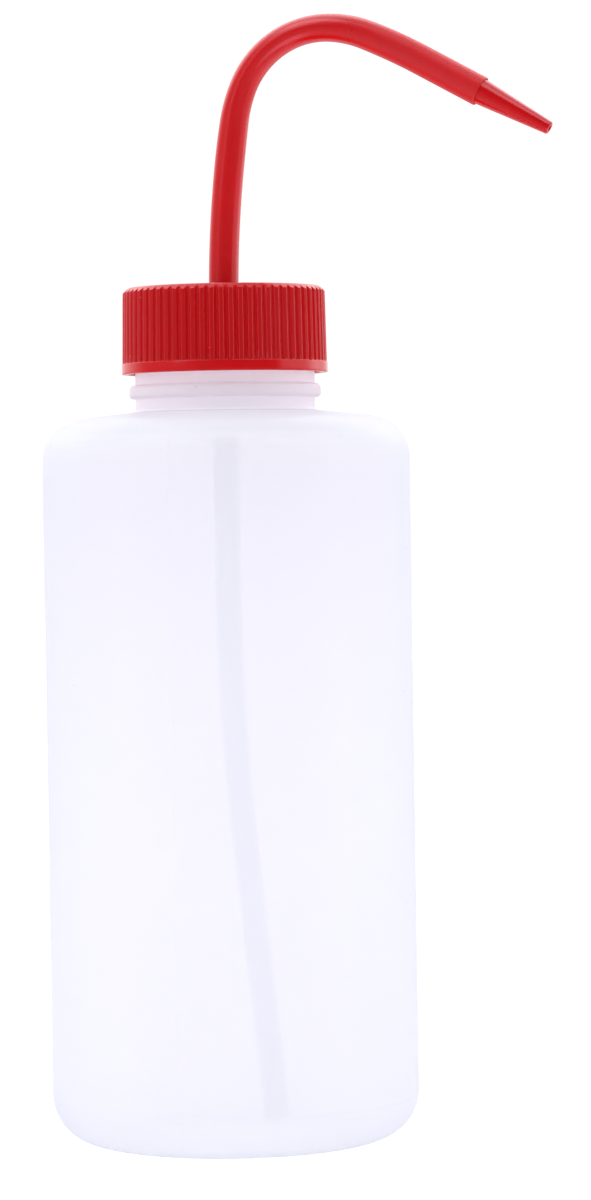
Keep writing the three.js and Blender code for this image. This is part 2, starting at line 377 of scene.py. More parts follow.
def outer_wall(angles):
    """Radii and heights of the outside of the bottle, from the middle of its base to its lip."""
    neck_mesh_from = CAP["bottom"] - 0.5  # the mesh is finer above, for the thread
    bead_bottom = NECK["bead_centre"] - NECK["bead_width"] / 2
    bead_top = NECK["bead_centre"] + NECK["bead_width"] / 2
    body = outline(
        [
            (0, 0),
            (BODY["radius"], 0, BODY["base_corner"]),
            (BODY["radius"], shoulder_height(BODY["radius"]), BODY["shoulder_corner"]),
            (NECK["radius"], shoulder_height(NECK["radius"]), NECK["foot_fillet"]),
            (NECK["radius"], bead_bottom, NECK["bead_fillet"]),
            (NECK["bead_radius"], bead_bottom, NECK["bead_rounding"]),
            (NECK["bead_radius"], bead_top, NECK["bead_rounding"]),
            (NECK["radius"], bead_top, NECK["bead_fillet"]),
            (NECK["radius"], neck_mesh_from),
        ]
    )
    neck = outline(
        [
            (NECK["radius"], neck_mesh_from),
            (NECK["radius"], NECK["lip"], NECK["lip_rounding"]),
            (NECK["bore"] + LIP_CHAMFER, NECK["lip"]),
        ],
        arc_step=0.15,
        straight_step=0.22,
    )
    points = np.concatenate([body, neck[1:]])
    radii, heights = points[:, :1] + 0 * angles, points[:, 1:] + 0 * angles
    return radii, heights


def inner_wall():
    """The inside of the bottle from its lip to the middle of its floor."""
    inside = BODY["radius"] - BODY["wall"]
    skin = BODY["wall"] / math.cos(BODY["shoulder_slope"])
    return outline(
        [
            (NECK["bore"] + LIP_CHAMFER, NECK["lip"]),
            (NECK["bore"], NECK["lip"] - LIP_CHAMFER),
            (NECK["bore"], shoulder_height(NECK["bore"]) - skin, NECK["bore_fillet"]),
            (inside, shoulder_height(inside) - skin, BODY["shoulder_corner"] - BODY["wall"]),
            (inside, BODY["floor"], BODY["base_corner"] - BODY["wall"]),
            (0, BODY["floor"]),
        ],
        arc_step=1.0,
        straight_step=6.0,
    )[1:]


def wall_inset(radii, heights, angles):
    """How far the outside lies in from its full radius, which only the parting lines reach."""
    from_seam = (np.mod(angles, TURN / 2) - TURN / 4) * radii
    on_body = radii > NECK["radius"] + 2  # the neck isn't blown, so it is true
    inset = SEAM_RELIEF - SEAM_RELIEF * swell(from_seam, SEAM_WIDTH)
    inset = inset + WAVINESS * wall_waves(radii, heights, angles) * on_body
    for line in MOULD_LINES:
        inset = inset + MOULD_LINE_DEPTH * swell(heights - line, MOULD_LINE_WIDTH)
    return inset * np.clip(radii / BODY["radius"], 0, 1)


def base_rise(radii, angles):
    """How far the underside stands off the ground: the push-up, less the pinch-off line across it."""
    push_up = PUSH_UP["height"] * np.clip((PUSH_UP["radius"] - radii) / PUSH_UP["edge"], 0, 1)
    along_seam = radii * np.abs(np.sin(angles))
    pinch = PINCH_OFF["height"] * swell(radii * np.cos(angles), PINCH_OFF["width"])
    pinch = pinch * np.clip(PINCH_OFF["length"] / 2 - along_seam, 0, 1)
    return push_up - pinch


def bottle_grid():
    """The bottle's rows of vertices, and the number of the row where its inside starts."""
    angles = bottle_angles()
    radii, heights = outer_wall(angles)
    ridge = thread_relief(angles, heights, NECK_THREAD, THREAD["neck_start"])
    on_neck = heights > CAP["bottom"] - 1
    at_base = heights < 1e-3
    outer = polar_grid(
        np.maximum(radii - wall_inset(radii, heights, angles), 0) + ridge * on_neck,
        heights + base_rise(radii, angles) * at_base,
        angles,
    )
    return np.concatenate([outer, turned_grid(inner_wall(), angles)]), len(outer)


# ---- Cap ----------------------------------------------------------------------------------------


def rib_columns():
    """Angles of the cap's columns, and how far each stands out of the grooves as a share of the depth."""
    pitch = TURN / CAP["ribs"]
    angles = [pitch * (rib + share) for rib in range(CAP["ribs"]) for share, _ in RIB_SECTION]
    standing = [depth for _ in range(CAP["ribs"]) for _, depth in RIB_SECTION]
    return np.array(angles), np.array(standing)


def ribbed_rows(standing):
    """Radius and height rows of the ribs, from the ledge over the band up to the flat top."""
    ribs_at_band = CAP["rib_crest"] - CAP["rib_depth"] * (1 - standing)
    chamfer_radius = CAP["rib_crest"] - CAP["draft"]
    chamfer_slope = CAP["chamfer_height"] / (chamfer_radius - CAP["top_radius"])
    ledge = CAP["band_top"] + (CAP["band_radius"] - ribs_at_band) * CAP["ledge_slope"]
    narrowed = ribs_at_band * (1 - CAP["draft"] / CAP["rib_crest"])
    brow = CAP["top"] - chamfer_slope * (narrowed - CAP["top_radius"])
    rows = [(ribs_at_band + 0.04, ledge - 0.02), (ribs_at_band, ledge + 0.08)]
    for share in FACE_ROWS:
        height = ledge + (brow - ledge) * share
        rise = (height - CAP["band_top"]) / (CAP["top"] - CAP["band_top"])
        rows.append((ribs_at_band * (1 - CAP["draft"] / CAP["rib_crest"] * rise), height))
    rows += [(narrowed, brow - 0.12), (narrowed - 0.03, brow + 0.01)]
    for share in CHAMFER_ROWS:
        radius = narrowed + (CAP["top_radius"] - narrowed) * share
        rows.append((radius, brow + (CAP["top"] - brow) * share - 0.02))
    return rows


def cap_band():
    """From the cap's mouth up the outside of its smooth band."""
    return outline(
        [
            (CAP["bore"] + MOUTH_CHAMFER, CAP["bottom"]),
            (CAP["band_radius"], CAP["bottom"], 0.25),
            (CAP["band_radius"], CAP["band_top"], 0.1),
            (CAP["band_radius"] - 0.2, CAP["band_top"] + 0.2 * CAP["ledge_slope"]),
        ],
        arc_step=0.1,
        straight_step=0.6,
    )[:-1]


def cap_crown():
    """From the flat top over the rim, down the hole, round the collar and out to the liner's seat."""
    roof_underside = CAP["top"] - CAP["roof"]
    return outline(
        [
            (CAP["top_radius"] - 0.1, CAP["top"]),
            (CAP["rim_radius"], CAP["top"]),
            (CAP["rim_radius"], CAP["rim_top"], 0.12),
            (CAP["hole_radius"], CAP["rim_top"], 0.12),
            (CAP["hole_radius"], CAP["collar_bottom"]),
            (CAP["collar_radius"], CAP["collar_bottom"], 0.5),
            (CAP["collar_radius"], roof_underside),
            (CAP["seat_bore"], roof_underside),
            (CAP["seat_bore"], CAP["seat_bottom"]),
        ],
        arc_step=0.08,
        straight_step=3.0,
    )


def cap_bore(angles):
    """Down the inside of the skirt, with the thread's ridge on it, as rows of vertices."""
    bore = outline(
        [
            (CAP["bore"], CAP["seat_bottom"] - CAP["bore"] + CAP["seat_bore"]),
            (CAP["bore"], CAP["bottom"] + MOUTH_CHAMFER),
        ],
        straight_step=0.4,
    )
    heights = bore[:, 1:] + 0 * angles
    ridge = thread_relief(angles, heights, CAP_THREAD, THREAD["neck_start"] - THREAD["cap_drop"])
    return polar_grid(bore[:, :1] - ridge, heights, angles)


def cap_grid():
    angles, standing = rib_columns()
    rows = [turned_grid(cap_band(), angles)]
    rows += [polar_grid(radius[None], height[None], angles) for radius, height in ribbed_rows(standing)]
    rows += [turned_grid(cap_crown(), angles), cap_bore(angles)]
    return np.concatenate(rows)


def liner_grid():
    points = loop_outline(
        [
            (LINER["hole"] + 0.5, LINER_LOW.z),
            (LINER["radius"], LINER_LOW.z, 0.15),
            (LINER["radius"], LINER_HIGH.z, 0.15),
            (LINER["hole"], LINER_HIGH.z, 0.1),
            (LINER["hole"], LINER_LOW.z, 0.1),
        ],
        arc_step=0.1,
    )
    return turned_grid(points, round_angles(LINER_COLUMNS))


# ---- Tubes --------------------------------------------------------------------------------------


def spout_grid():
    length = run_length(SPOUT_RUN)
    step = SPOUT["socket"] - SPOUT["bore"]
    points = loop_outline(
        [
            (SPOUT["socket"], 0.3),
            (SPOUT["socket"] + 0.15, 0),
            (SPOUT["radius"], 0, 0.12),
            (SPOUT["radius"], length, 0.3),
            (SPOUT["socket"], length, 0.04),
            (SPOUT["socket"], length - SPOUT["arm_socket"]),
            (SPOUT["bore"], length - SPOUT["arm_socket"] - step),
            (SPOUT["bore"], SPOUT["foot_socket"] + step),
            (SPOUT["socket"], SPOUT["foot_socket"]),
        ],
        arc_step=0.06,
        straight_step=0.9,
    )
    straight = turned_grid(points, round_angles(SPOUT_COLUMNS))
    bend = ((straight[:, :, 2] - SPOUT["bend_centre"]) / SPOUT["bend_reach"]) ** 4
    share = np.exp(-bend)
    straight[:, :, 0] *= 1 - SPOUT["flattening"] * share
    straight[:, :, 1] *= 1 + SPOUT["spreading"] * share
    return bent_along(straight, SPOUT_RUN)


def dip_grid():
    length = run_length(DIP_RUN)
    points = loop_outline(
        [
            (DIP["bore"], 0),
            (DIP["radius"], 0, 0.1),
            (DIP["radius"], length, 0.1),
            (DIP["bore"], length),
        ],
        arc_step=0.06,
        straight_step=1.5,
    )
    return bent_along(turned_grid(points, round_angles(DIP_COLUMNS)), DIP_RUN)


def nozzle_grid():
    shank, length = NOZZLE["shank"], NOZZLE["length"]
    points = loop_outline(
        [
            (NOZZLE["shank_bore"], 0),
            (NOZZLE["radius"], 0, 0.3),
            (NOZZLE["radius"], shank),
            (NOZZLE["tip_radius"], shank + length, NOZZLE["tip_rounding"]),
            (NOZZLE["jet_bore"], shank + length, 0.15),
            (NOZZLE["jet_bore"], shank + length - NOZZLE["jet_length"]),
        ],
        arc_step=0.08,
        straight_step=0.8,
    )
    x, z, heading = run_at(SPOUT_RUN, run_length(SPOUT_RUN) - shank)
    arm = {"x": x, "z": z, "heading": heading, "pieces": ()}
    return bent_along(turned_grid(points, round_angles(SPOUT_COLUMNS)), arm)


# ---- Materials ----------------------------------------------------------------------------------

NOISE_RANGE = (0.3, 0.7)  # where most values of the noise lie

RED_SHINE = (0.45, 0.2)  # how strongly red faces mirror, from the middle to the outline
RED_SHINE_TINT = (0.88, 0.88, 1.0, 1.0)
PALE_MARKS = {"spacing": 3.2, "size": 0.28, "share": 0.3}
PALE_MARK_COLOUR = (0.9, 0.5, 0.48)
DULL_ARM = (26, 38)  # x where the spout starts to get duller, and where it is fully so

# Shares of the ribs' pitch from the middle of a groove: where its shade ends, and over which the edges and
# the flat lands begin.
GROOVE_END = 0.2
EDGE_STARTS = (0.2, 0.24)
LAND_STARTS = (0.32, 0.35)
GRIP = {
    # painted shade in the bottom of the grooves
    "groove_shade": 0.78,
    # painted shade on the lands, from the ribs on each other, and a small lift added to each channel of it
    "land_shade": 0.72,
    "land_lift": 0.008,
    "land_dullness": 0.19,  # added to the roughness
    "land_shine": 0.08,
    "edge_shine": 2.0,
}

POLYETHYLENE_IOR = 1.51
# a bluer tint painted at the outline, for the light from around that the edges show
PAINTED_RIM_TINT = (0.925, 0.94, 0.96)
THROUGH = (0.72, 0.5)  # share of the light that is scattered on, by the thin wall and by the thick neck
SCATTER_RISE = (-8, 4)  # heights over THICK_ABOVE between which that share changes
PASSED_ON = 0.955  # how much of that gets out on the other side
THICK_CLARITY = 0.25  # how much of its see-through share the thick wall keeps
# The neck's look is a red glow and shade painted on it.
NECK_RISE = (3.5, 5.5)  # heights over THICK_ABOVE where the neck's look starts, and is full
NECK_EDGE = (20.0, 20.5)  # radii where that look is still full, and ends
# The ring round the neck's foot is painted a darker pink, as shade in the crease there.
FOOT_RING = (19.0, 19.3)  # radii where the ring round the neck's foot starts, and is full
PAINTED_FOOT_SHADE = (0.8, 0.5, 0.62)
DUST = {"spacing": 9.0, "size": 0.5, "share": 0.5}
DUST_COLOUR = (0.45, 0.4, 0.5)
FOAM_CELL = 0.35


def add_node(tree, kind, inputs=None, **settings):
    """Adds a shader node. An input is a number, a colour or the output socket that feeds it."""
    node = tree.nodes.new(f"ShaderNode{kind}")
    for name, value in settings.items():
        setattr(node, name, value)
    for name, value in (inputs or {}).items():
        if isinstance(value, bpy.types.NodeSocket):
            tree.links.new(value, node.inputs[name])
        else:
            node.inputs[name].default_value = value
    return node


def empty_material(name):
    material = bpy.data.materials.new(name)
    material.use_nodes = True
    material.node_tree.nodes.clear()
    return material, material.node_tree


def show(tree, shader):
    add_node(tree, "OutputMaterial", {"Surface": shader})


def object_place(tree):
    return add_node(tree, "TexCoord").outputs["Object"]


def speckle(tree, place, size, detail=2.0, roughness=0.5):
    """Noise whose spots are about a size in millimetres."""
    settings = {"Vector": place, "Scale": 1 / (size * MM), "Detail": detail, "Roughness": roughness}
    return add_node(tree, "TexNoise", settings).outputs["Fac"]


def remap(tree, value, low, high, to_low=0.0, to_high=1.0, interpolation="LINEAR"):
    """A value carried over from one range to another, and held at the ends of it."""
    inputs = {0: value, 1: low, 2: high, 3: to_low, 4: to_high}
    return add_node(tree, "MapRange", inputs, interpolation_type=interpolation, clamp=True).outputs[0]


def arithmetic(tree, operation, *values):
    return add_node(tree, "Math", dict(enumerate(values)), operation=operation).outputs[0]


def product(tree, first, *others):
    for other in others:
        first = arithmetic(tree, "MULTIPLY", first, other)
    return first


def total(tree, first, *others):
    for other in others:
        first = arithmetic(tree, "ADD", first, other)
    return first


def colour_between(tree, share, first, second):
    """A mix of two colours, each of them three numbers or the output socket that feeds it."""
    first, second = (c if isinstance(c, bpy.types.NodeSocket) else (*c, 1.0) for c in (first, second))
    return add_node(tree, "Mix", {0: share, 6: first, 7: second}, data_type="RGBA").outputs[2]


def scaled(colour, share):
    return [share * channel for channel in colour]


def facing_away(tree, blend):
    """0 where a face looks at the camera, 1 at the outline; a smaller blend rises later."""
    return add_node(tree, "LayerWeight", {"Blend": blend}).outputs["Facing"]


def relief(tree, height, depth, under=None):
    """A bump whose height is a share of a depth in millimetres."""
    inputs = {"Height": height, "Distance": depth * MM, "Strength": 1.0}
    if under is not None:
        inputs["Normal"] = under
    return add_node(tree, "Bump", inputs).outputs["Normal"]


def specks(tree, place, spacing, size, share):
    """Small round marks: 1 on a mark, 0 elsewhere, with a share of the places at a spacing marked."""
    cells = add_node(tree, "TexVoronoi", {"Vector": place, "Scale": 1 / (spacing * MM)}).outputs
    pick = add_node(tree, "SeparateColor", {0: cells["Color"]}).outputs[0]
    marked = arithmetic(tree, "LESS_THAN", pick, share)
    radius = size / spacing / 2
    return product(tree, marked, remap(tree, cells["Distance"], radius * 0.6, radius, 1.0, 0.0))


def from_axis(tree, x, y):
    squares = total(tree, product(tree, x, x), product(tree, y, y))
    return arithmetic(tree, "SQRT", squares)


def rib_masks(tree, place):
    """On the ribs of the cap: 1 at the bottom of the grooves, 1 on the lands, and 1 on the lands' edges."""
    x, y, z = add_node(tree, "SeparateXYZ", {0: place}).outputs
    phase = product(tree, arithmetic(tree, "ARCTAN2", y, x), CAP["ribs"] / TURN)
    from_groove = arithmetic(tree, "PINGPONG", phase, 0.5)
    groove_radius = CAP["rib_crest"] - CAP["rib_depth"] - CAP["draft"]
    top = CAP["top"] - CAP["chamfer_height"]
    outside = arithmetic(tree, "GREATER_THAN", from_axis(tree, x, y), (groove_radius - 0.03) * MM)
    over_band = arithmetic(tree, "GREATER_THAN", z, (CAP["band_top"] + 0.2) * MM)
    under_brow = arithmetic(tree, "LESS_THAN", z, (top - 0.1) * MM)
    faces = product(tree, outside, over_band, under_brow)
    grooves = product(tree, faces, remap(tree, from_groove, 0.0, GROOVE_END, 1.0, 0.0))
    lands = product(tree, faces, remap(tree, from_groove, *LAND_STARTS))
    standing = product(tree, faces, remap(tree, from_groove, *EDGE_STARTS))
    return grooves, lands, arithmetic(tree, "SUBTRACT", standing, lands)


def ribbed_grip(tree, place, colour, pigment_and_shade, smudges, shine):
    """Painted shade: darker grooves, and between them lands painted darker as the ribs' shade on each
    other, which are also duller with shinier edges.
    """
    grooves, lands, edges = rib_masks(tree, place)
    # Painted shade: the bottom of each groove is darkened.
    pigment_and_shade = colour_between(tree, grooves, pigment_and_shade, scaled(colour, GRIP["groove_shade"]))
    # The lands are painted darker as the ribs' shade on each other, with a small lift added to every
    # channel.
    shaded_land = [channel + GRIP["land_lift"] for channel in scaled(colour, GRIP["land_shade"])]
    pigment_and_shade = colour_between(tree, lands, pigment_and_shade, shaded_land)
    smudges = total(tree, smudges, product(tree, lands, GRIP["land_dullness"]))
    on_lands = remap(tree, lands, 0.0, 1.0, 1.0, GRIP["land_shine"])
    on_edges = remap(tree, edges, 0.0, 1.0, 1.0, GRIP["edge_shine"])
    return pigment_and_shade, smudges, product(tree, shine, on_lands, on_edges)


def red_plastic(name, colour, roughness, grain, grain_depth, ribbed=False, dull_arm=0.0):
    """Opaque red polyethylene with moulded grain, cloudy pigment and a few pale marks.

    Dull_arm is how much rougher the spout gets where it is straight after the bend. Ribbed paints shade
    into the grooves and onto the lands of the cap's grip.
    """
    material, tree = empty_material(name)
    place = object_place(tree)
    clouds = remap(tree, speckle(tree, place, 4.0, detail=4.0), *NOISE_RANGE)
    pigment_and_shade = colour_between(tree, clouds, scaled(colour, 0.94), colour)
    smears = speckle(tree, place, 1.6, detail=5.0)
    smudges = remap(tree, smears, *NOISE_RANGE, roughness - 0.03, roughness + 0.03)
    shine = remap(tree, facing_away(tree, 0.5), 0.6, 1.0, *RED_SHINE)
    if dull_arm:
        x = add_node(tree, "SeparateXYZ", {0: place}).outputs[0]
        start, full = (distance * MM for distance in DULL_ARM)
        smudges = total(tree, smudges, remap(tree, x, start, full, 0.0, dull_arm))
    if ribbed:
        pigment_and_shade, smudges, shine = ribbed_grip(tree, place, colour, pigment_and_shade, smudges, shine)
    marks = product(tree, specks(tree, place, **PALE_MARKS), 0.5)
    pigment_and_shade = colour_between(tree, marks, pigment_and_shade, PALE_MARK_COLOUR)
    fine = relief(tree, speckle(tree, place, grain, detail=3.0), grain_depth)
    shader = add_node(
        tree,
        "BsdfPrincipled",
        {
            "Base Color": pigment_and_shade,
            "Roughness": smudges,
            "Specular IOR Level": shine,
            "Specular Tint": RED_SHINE_TINT,
            "Normal": fine,
        },
    )
    show(tree, shader.outputs[0])
    return material


def neck_masks(tree, height, radius, turned_away):
    """Shares of the neck as a whole, where a glow is painted, of its sides, where shade is painted, and of
    the crease ring where it stands on the shoulder, where shade is painted too.
    """
    start, full = ((THICK_ABOVE + rise) * MM for rise in NECK_RISE)
    inner, outer = (edge * MM for edge in NECK_EDGE)
    raised = remap(tree, height, start, full)
    neck = product(tree, raised, remap(tree, radius, inner, outer, 1.0, 0.0))
    # Painted shade and red glow on the neck's sides, where they turn away.
    sides = product(tree, neck, remap(tree, turned_away, 0.4, 1.0))
    ring_inner, ring_outer = (edge * MM for edge in FOOT_RING)
    ring = product(tree, neck, remap(tree, radius, ring_inner, ring_outer))
    under_bead = arithmetic(tree, "LESS_THAN", height, (NECK["bead_centre"] - 3) * MM)
    return neck, sides, product(tree, under_bead, ring)


def milky_colour(tree, place, colour, painted_cap_glow, height, turned_away, sides, foot_shade_ring):
    """The plastic's colour: hazy, with a bluer tint painted at the outline for the light round it, the
    cap's red glow painted in close under the cap, painted shade and red glow on the neck's sides and in the
    crease round its foot, and a few dust specks.
    """
    haze = remap(tree, speckle(tree, place, 14.0, detail=5.0), *NOISE_RANGE)
    milk_and_painted_light = colour_between(tree, haze, scaled(colour, 0.996), colour)
    # Painted light: the outline turns bluer, as the edges show the light around them.
    painted_rim = [channel * tint for channel, tint in zip(colour, PAINTED_RIM_TINT)]
    milk_and_painted_light = colour_between(tree, remap(tree, turned_away, 0.2, 0.9), milk_and_painted_light, painted_rim)
    # Painted light: close under the cap the colour turns towards the cap's red glow.
    cap_glow_share = remap(tree, height, (NECK["bead_centre"] - 5) * MM, CAP["bottom"] * MM)
    milk_and_painted_light = colour_between(tree, cap_glow_share, milk_and_painted_light, painted_cap_glow)
    # Painted shade: the neck's sides are darker and redder.
    milk_and_painted_light = colour_between(tree, sides, milk_and_painted_light, scaled(painted_cap_glow, 0.93))
    # Painted shade in the crease round the neck's foot.
    milk_and_painted_light = colour_between(tree, product(tree, foot_shade_ring, 0.5), milk_and_painted_light, PAINTED_FOOT_SHADE)
    dust = product(tree, specks(tree, place, **DUST), 0.45)
    return colour_between(tree, dust, milk_and_painted_light, DUST_COLOUR)


def natural_plastic(name, colour, see_through, roughness, rim_share, painted_cap_glow, piped=0.0):
    """Unpigmented polyethylene: milky, it glows with the light behind it and shows faint shapes through it.

    Its see-through share changes to rim_share where the face turns away, and it is nearly opaque from the
    shoulder up, where the wall is thick. Close under the cap its colour is painted towards the cap's red
    glow, its neck's sides and the crease round the neck's foot are painted darker as shade, and piped is
    the strength of a glow it gives off in the neck's recesses, painted in for light that comes up inside
    the wall.
    """
    material, tree = empty_material(name)
    place = object_place(tree)
    x, y, height = add_node(tree, "SeparateXYZ", {0: place}).outputs
    radius = from_axis(tree, x, y)
    turned_away = facing_away(tree, 0.5)
    on_neck, neck_sides, foot_shade_ring = neck_masks(tree, height, radius, turned_away)
    milk_and_painted_light = milky_colour(tree, place, colour, painted_cap_glow, height, turned_away, neck_sides, foot_shade_ring)
    flow = speckle(tree, place, 2.2, detail=4.0)
    grain = relief(tree, speckle(tree, place, 0.12), 0.004)
    skin = relief(tree, flow, 0.01, under=grain)
    # Painted glow: the neck's recesses give off light in the cap's red, standing in for light carried up
    # inside the wall.
    recess = remap(tree, radius, (NECK["radius"] + 0.2) * MM, NECK["bead_radius"] * MM, 1.0, 0.15)
    front = add_node(
        tree,
        "BsdfPrincipled",
        {
            "Base Color": milk_and_painted_light,
            "Roughness": remap(tree, flow, *NOISE_RANGE, roughness - 0.04, roughness + 0.04),
            "Specular IOR Level": 0.35,
            "IOR": POLYETHYLENE_IOR,
            "Normal": skin,
            "Emission Color": (*painted_cap_glow, 1.0),
            "Emission Strength": product(tree, on_neck, product(tree, recess, piped)),
        },
    ).outputs[0]
    passed = colour_between(tree, PASSED_ON, (0.0, 0.0, 0.0), milk_and_painted_light)
    back = add_node(tree, "BsdfTranslucent", {"Color": passed, "Normal": skin}).outputs[0]
    start, full = ((THICK_ABOVE + rise) * MM for rise in SCATTER_RISE)
    through = remap(tree, height, start, full, *THROUGH)
    body = add_node(tree, "MixShader", {0: through, 1: front, 2: back}).outputs[0]
    clear = add_node(tree, "BsdfTransparent", {"Color": (*colour, 1.0)}).outputs[0]
    share = remap(tree, facing_away(tree, 0.35), 0.2, 1.0, see_through, rim_share)
    thin = remap(tree, height, (THICK_ABOVE - 0.4) * MM, (THICK_ABOVE + 0.4) * MM, 1.0, THICK_CLARITY)
    share = product(tree, share, thin)
    show(tree, add_node(tree, "MixShader", {0: share, 1: body, 2: clear}).outputs[0])
    return material


def foam(name, colour):
    """Closed-cell foam with a fine pitted face."""
    material, tree = empty_material(name)
    place = object_place(tree)
    cells = add_node(tree, "TexVoronoi", {"Vector": place, "Scale": 1 / (FOAM_CELL * MM)})
    from_middle = cells.outputs["Distance"]
    tone = remap(tree, from_middle, 0.0, 0.8)
    # Painted shade: the middle of each pit, the lowest part of the bump, is darker.
    shade = colour_between(tree, tone, scaled(colour, 0.86), colour)
    pits = relief(tree, from_middle, 0.05)
    shader = add_node(
        tree, "BsdfPrincipled", {"Base Color": shade, "Roughness": 0.75, "Normal": pits}
    )
    show(tree, shader.outputs[0])
    return material


# ---- Pieces -------------------------------------------------------------------------------------

RED = (0.62, 0.003, 0.005)
GLOSSY_RED = (0.6, 0.003, 0.005)
MILK = (0.968, 0.966, 1.0)
# the cap's red glow, painted into the milk under it
PAINTED_CAP_GLOW = (0.99, 0.91, 0.975)  # the milk under the red cap
CLEAR = (0.985, 0.982, 0.995)
TUBE = (0.84, 0.84, 0.92)
# the cap's red glow, painted into the dip tube near its top
TUBE_PAINTED_CAP_GLOW = (0.84, 0.8, 0.86)
FOAM_WHITE = (0.85, 0.85, 0.82)


def build_bottle():
    """The bottle. Its inside has a clear material, so that light meets the milky wall only once."""
    wall = natural_plastic(
        "bottle_wall", MILK, see_through=0.11, roughness=0.33, rim_share=0.04, painted_cap_glow=PAINTED_CAP_GLOW, piped=0.2
    )
    lining = natural_plastic(
        "bottle_lining", CLEAR, see_through=0.85, roughness=0.4, rim_share=0.6, painted_cap_glow=CLEAR
    )
    grid, lining_row = bottle_grid()
    bottle = mesh_piece(
        "bottle_shell",
        grid,
        "bottle",
        [wall, lining],
        closed=False,
        lining_row=lining_row,
    )
    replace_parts(bottle, "bottle")


def build_pieces():
    build_bottle()
    tube = natural_plastic(
        "dip_tube_polyethylene", TUBE, see_through=0.3, roughness=0.35, rim_share=0.3, painted_cap_glow=TUBE_PAINTED_CAP_GLOW
    )
    cap_red = red_plastic("cap_red", RED, roughness=0.16, grain=0.25, grain_depth=0.006, ribbed=True)
    spout_red = red_plastic("spout_red", RED, roughness=0.23, grain=0.18, grain_depth=0.007, dull_arm=0.22)
    nozzle_red = red_plastic("nozzle_red", GLOSSY_RED, roughness=0.16, grain=0.3, grain_depth=0.004)
    white_foam = foam("white_foam", FOAM_WHITE)
    pieces = (
        ("ribbed_cap", cap_grid(), "cap", "cap_plastic", cap_red, "screw_cap"),
        ("sealing_liner", liner_grid(), "liner", "liner_foam", white_foam, "cap_liner"),
        ("bent_spout", spout_grid(), "spout", "spout_plastic", spout_red, "spout_tube"),
        ("inner_dip_tube", dip_grid(), "spout", "dip_tube_plastic", tube, "dip_tube"),
        ("tapered_nozzle", nozzle_grid(), "nozzle", "nozzle_plastic", nozzle_red, "jet_nozzle"),
    )
    for name, grid, body, slot, material, node in pieces:
        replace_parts(mesh_piece(name, grid, body, [material]), node)


# ---- Studio -------------------------------------------------------------------------------------

# Azimuths are from +X towards +Y.
DIM_SIDE = -68 * DEGREE  # middle of the side that sends dull faces less light
# Strength there and away from it, and the angles from it where the light is full again and still dim.
SOFT_LIGHT = (0.4, 1.6, 92 * DEGREE, 32 * DEGREE)
BACKDROP = 1.05  # what the camera sees behind everything
# What shiny faces mirror, by the angle from the dark side's middle: a soft box that starts sharply on the
# right, a wall that gets brighter slowly on the left, and a bright back.
DARK_SIDE = -70 * DEGREE
DARK = 0.05
RIGHT_BOX = {"from": 59 * DEGREE, "to": 65 * DEGREE, "strength": 1.15}
LEFT_WALL = {"from": 0.0, "to": 60 * DEGREE, "strength": 0.3}
BACK = {"from": 85 * DEGREE, "to": 140 * DEGREE, "strength": 1.2}
# Only mirrored: patches of light. Each has its azimuth, elevation, core angle and edge angle in degrees,
# and its strength.
LAMPS = (
    (229, 58, 8, 22, 4.2),  # a soft box over the front left,
    (236, 35, 5, 15, 2.5),
    (236, 12, 3, 10, 1.3),  # whose side comes down to the left of the bottle
    (-49, 60, 8, 22, 2.5),  # a weaker one over the front right,
    (-28, 48, 10, 36, 1.0),
    (155, 53, 25, 44, 1.3),  # the ceiling behind, at the left
    (65, 42, 15, 35, 1.7),  # and at the right
    (48, 0, 6, 16, 0.85),  # the edge of the backdrop
)
# The table that the bottle stands on, as shiny faces mirror it. A reach is the four distances from the
# bottle's axis where a part of the table starts, is full, begins to end and is out.
TABLE_SHARE = 0.42  # how brightly it mirrors the studio round it
TABLE_REACH = (36.0, 40.0, 260.0, 340.0)  # of a bright patch on one side
BRIGHT_TABLE = {"azimuth": -73 * DEGREE, "core": 19 * DEGREE, "edge": 28 * DEGREE, "strength": 2.0}
TABLE_BEYOND = (80.0, 120.0, 350.0, 500.0)  # of the part that glows all round
TABLE_GLOW = 0.35
FLOOR_MOTTLE = (0.29, 0.31)
FLOOR_GLOSSY_WHITE = 0.1
FLOOR_LIFT = 0.83  # light that the floor gives off itself, so that it is as pale as the backdrop
FLOOR_SIZE = 8.0  # metres
CAMERA = {
    "azimuth": 17.0 * DEGREE,  # from the side of the bottle, round towards the spout
    "aside": 13.68,
    "distance": 855.76,
    "height": 128.57,
    "pitch": 1.255 * DEGREE,
    "roll": 0.882 * DEGREE,
    "lens": 125.8,
    "sensor": 36.0,
}


def place_camera():
    data = bpy.data.cameras.new("camera")
    data.lens = CAMERA["lens"]
    data.sensor_width = CAMERA["sensor"]
    data.clip_start, data.clip_end = 0.01, 20.0
    camera = bpy.data.objects.new("camera", data)
    bpy.context.scene.collection.objects.link(camera)
    round_bottle = Matrix.Rotation(CAMERA["azimuth"], 4, "Z")
    stand = Matrix.Translation(
        Vector((CAMERA["aside"], -CAMERA["distance"], CAMERA["height"])) * MM
    )
    level = Matrix.Rotation(math.pi / 2 - CAMERA["pitch"], 4, "X")
    rolled = Matrix.Rotation(-CAMERA["roll"], 4, "Z")
    camera.matrix_world = round_bottle @ stand @ level @ rolled
    bpy.context.scene.camera = camera


def tent(tree, facing, dim, bright, widest, narrowest):
    """Light that is dim within an angle of the dim side's middle and bright beyond a wider one."""
    return remap(tree, facing, math.cos(widest), math.cos(narrowest), bright, dim, "SMOOTHSTEP")


